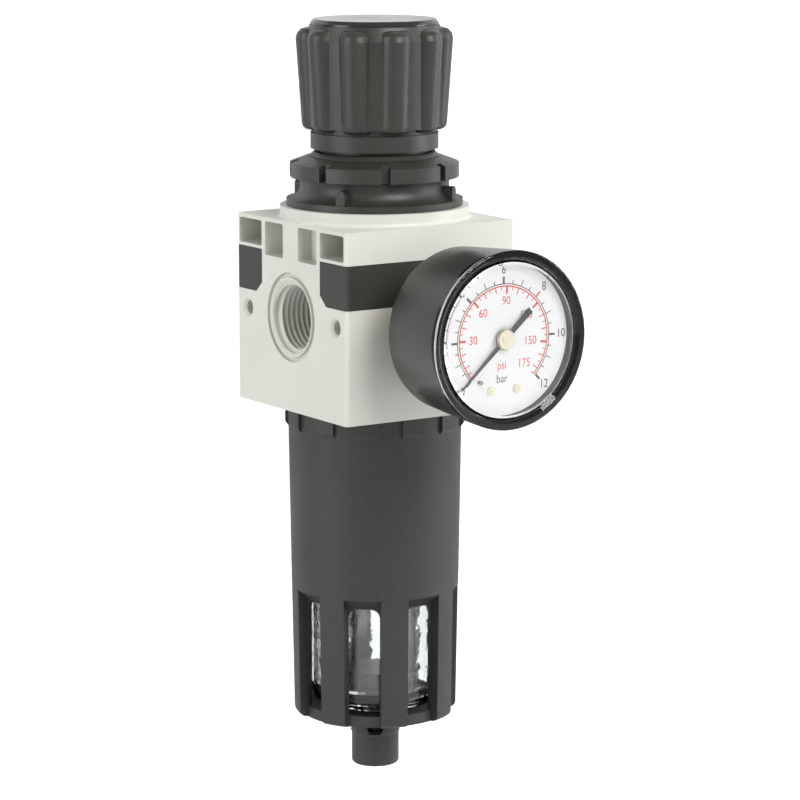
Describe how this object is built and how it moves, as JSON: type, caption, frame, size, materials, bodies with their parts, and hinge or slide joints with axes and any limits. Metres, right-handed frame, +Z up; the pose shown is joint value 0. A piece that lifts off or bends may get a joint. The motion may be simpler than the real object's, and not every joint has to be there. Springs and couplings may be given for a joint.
{
  "type": "filter regulator",
  "caption": "Compressed-air filter regulator: a block body with an adjusting knob on top, a dial gauge in front and a ribbed guard around a clear bowl with a push drain.",
  "frame": {"origin": "centre of the inlet port's mouth, in the plane of the inlet face", "axes": "+X with the flow from inlet to outlet, +Z up along the knob and bowl, the gauge faces -Y"},
  "size_m": [0.046, 0.0798, 0.177],
  "materials": {
    "body_paint": "satin grey paint with a fine orange peel",
    "panel_plastic": "fine-grained black",
    "bonnet_plastic": "satin black",
    "nut_plastic": "satin black",
    "knob_plastic": "satin black",
    "cap_plastic": "glossy black",
    "guard_plastic": "fine-grained black",
    "drain_plastic": "satin black",
    "bowl_clear": "clear polycarbonate",
    "gauge_black": "semi-gloss black",
    "lens_clear": "clear acrylic",
    "dial_white": "matt white print ground",
    "pointer_black": "matt black",
    "hub_metal": "turned",
    "brass": "turned",
    "stop_brown": "dull",
    "steel": "zinc plated",
    "spring_steel": "bright drawn wire",
    "aluminium": "turned",
    "rubber": "matt black",
    "inner_plastic": "natural white acetal",
    "filter_white": "sintered, porous"
  },
  "bodies": {
    "housing": {"body": "body_paint", "front_panel": "panel_plastic", "rear_panel": "panel_plastic", "rear_port_plug": "steel", "valve_seat": "brass", "valve_guide": "inner_plastic", "stem_bush": "inner_plastic", "valve_spring": "spring_steel", "diaphragm": "rubber", "bonnet": "bonnet_plastic", "thrust_washer": "steel", "range_spring": "spring_steel", "deflector": "inner_plastic", "filter_element": "filter_white", "baffle": "inner_plastic", "gauge_stem": "brass", "gauge_gasket": "rubber", "gauge_case": "gauge_black", "gauge_lens": "lens_clear", "dial": "dial_white", "dial_screws": "brass", "stop_pin": "stop_brown", "bourdon_tube": "brass", "movement_frame": "brass"},
    "adjusting_screw": {"adjusting_screw": "steel", "knob_screw": "steel"},
    "knob": {"knob": "knob_plastic", "knob_cap": "cap_plastic"},
    "spring_nut": {"spring_nut": "brass"},
    "valve": {"diaphragm_plate": "aluminium", "relief_seat": "brass", "valve_stem": "steel", "poppet": "brass"},
    "panel_nut": {"panel_nut": "nut_plastic"},
    "bowl": {"bowl_guard": "guard_plastic", "bowl": "bowl_clear", "bowl_o_ring": "rubber", "drain_spring": "spring_steel"},
    "drain": {"drain_stem": "drain_plastic", "drain_seal": "rubber", "drain_knob": "drain_plastic"},
    "sector": {"sector_gear": "brass"},
    "pointer": {"pinion": "brass", "pointer": "pointer_black", "pointer_hub": "hub_metal"},
    "link": {"link": "brass"}
  },
  "joints": [
    {"name": "knob_turn", "type": "hinge", "parent": "housing", "child": "adjusting_screw", "pos_m": [0.023, 0, 0.055], "axis": [0, 0, -1], "range_deg": [0, 1919]},
    {"name": "knob_lift", "type": "slide", "parent": "adjusting_screw", "child": "knob", "axis": [0, 0, 1], "range_m": [0, 0.003]},
    {"name": "spring_nut_travel", "type": "slide", "parent": "housing", "child": "spring_nut", "axis": [0, 0, -1], "range_m": [0, 0.008], "deforming": ["range_spring"]},
    {"name": "valve_lift", "type": "slide", "parent": "housing", "child": "valve", "axis": [0, 0, -1], "range_m": [0, 0.0015], "stiffness_N_per_m": 1500, "springref_m": -0.002, "deforming": ["valve_spring", "diaphragm"]},
    {"name": "panel_nut_turn", "type": "hinge", "parent": "housing", "child": "panel_nut", "pos_m": [0.023, 0, 0.034], "axis": [0, 0, 1], "continuous": true},
    {"name": "bowl_turn", "type": "hinge", "parent": "housing", "child": "bowl", "pos_m": [0.023, 0, -0.02], "axis": [0, 0, 1], "range_deg": [0, 45]},
    {"name": "drain_push", "type": "slide", "parent": "bowl", "child": "drain", "axis": [0, 0, 1], "range_m": [0, 0.0024], "stiffness_N_per_m": 1000, "springref_m": -0.003, "deforming": ["drain_spring"]},
    {"name": "sector_swing", "type": "hinge", "parent": "housing", "child": "sector", "pos_m": [0.01248, -0.0452, -0.00383], "axis": [0, 1, 0], "range_deg": [-38.57, 0], "stiffness_Nm_per_rad": 0.005, "springref_deg": 5.73},
    {"name": "pointer_turn", "type": "hinge", "parent": "housing", "child": "pointer", "pos_m": [0.023, -0.0452, 0], "axis": [0, 1, 0], "range_deg": [0, 270]},
    {"name": "link_turn", "type": "hinge", "parent": "sector", "child": "link", "pos_m": [0.01548, -0.0452, -0.00379], "axis": [0, 1, 0], "range_deg": [0, 38.57]}
  ],
  "couplings": [
    {"joint": "spring_nut_travel", "follows": "knob_turn", "m_per_rad": 0.00023873},
    {"joint": "pointer_turn", "follows": "sector_swing", "ratio": -7},
    {"joint": "link_turn", "follows": "sector_swing", "ratio": -1}
  ]
}
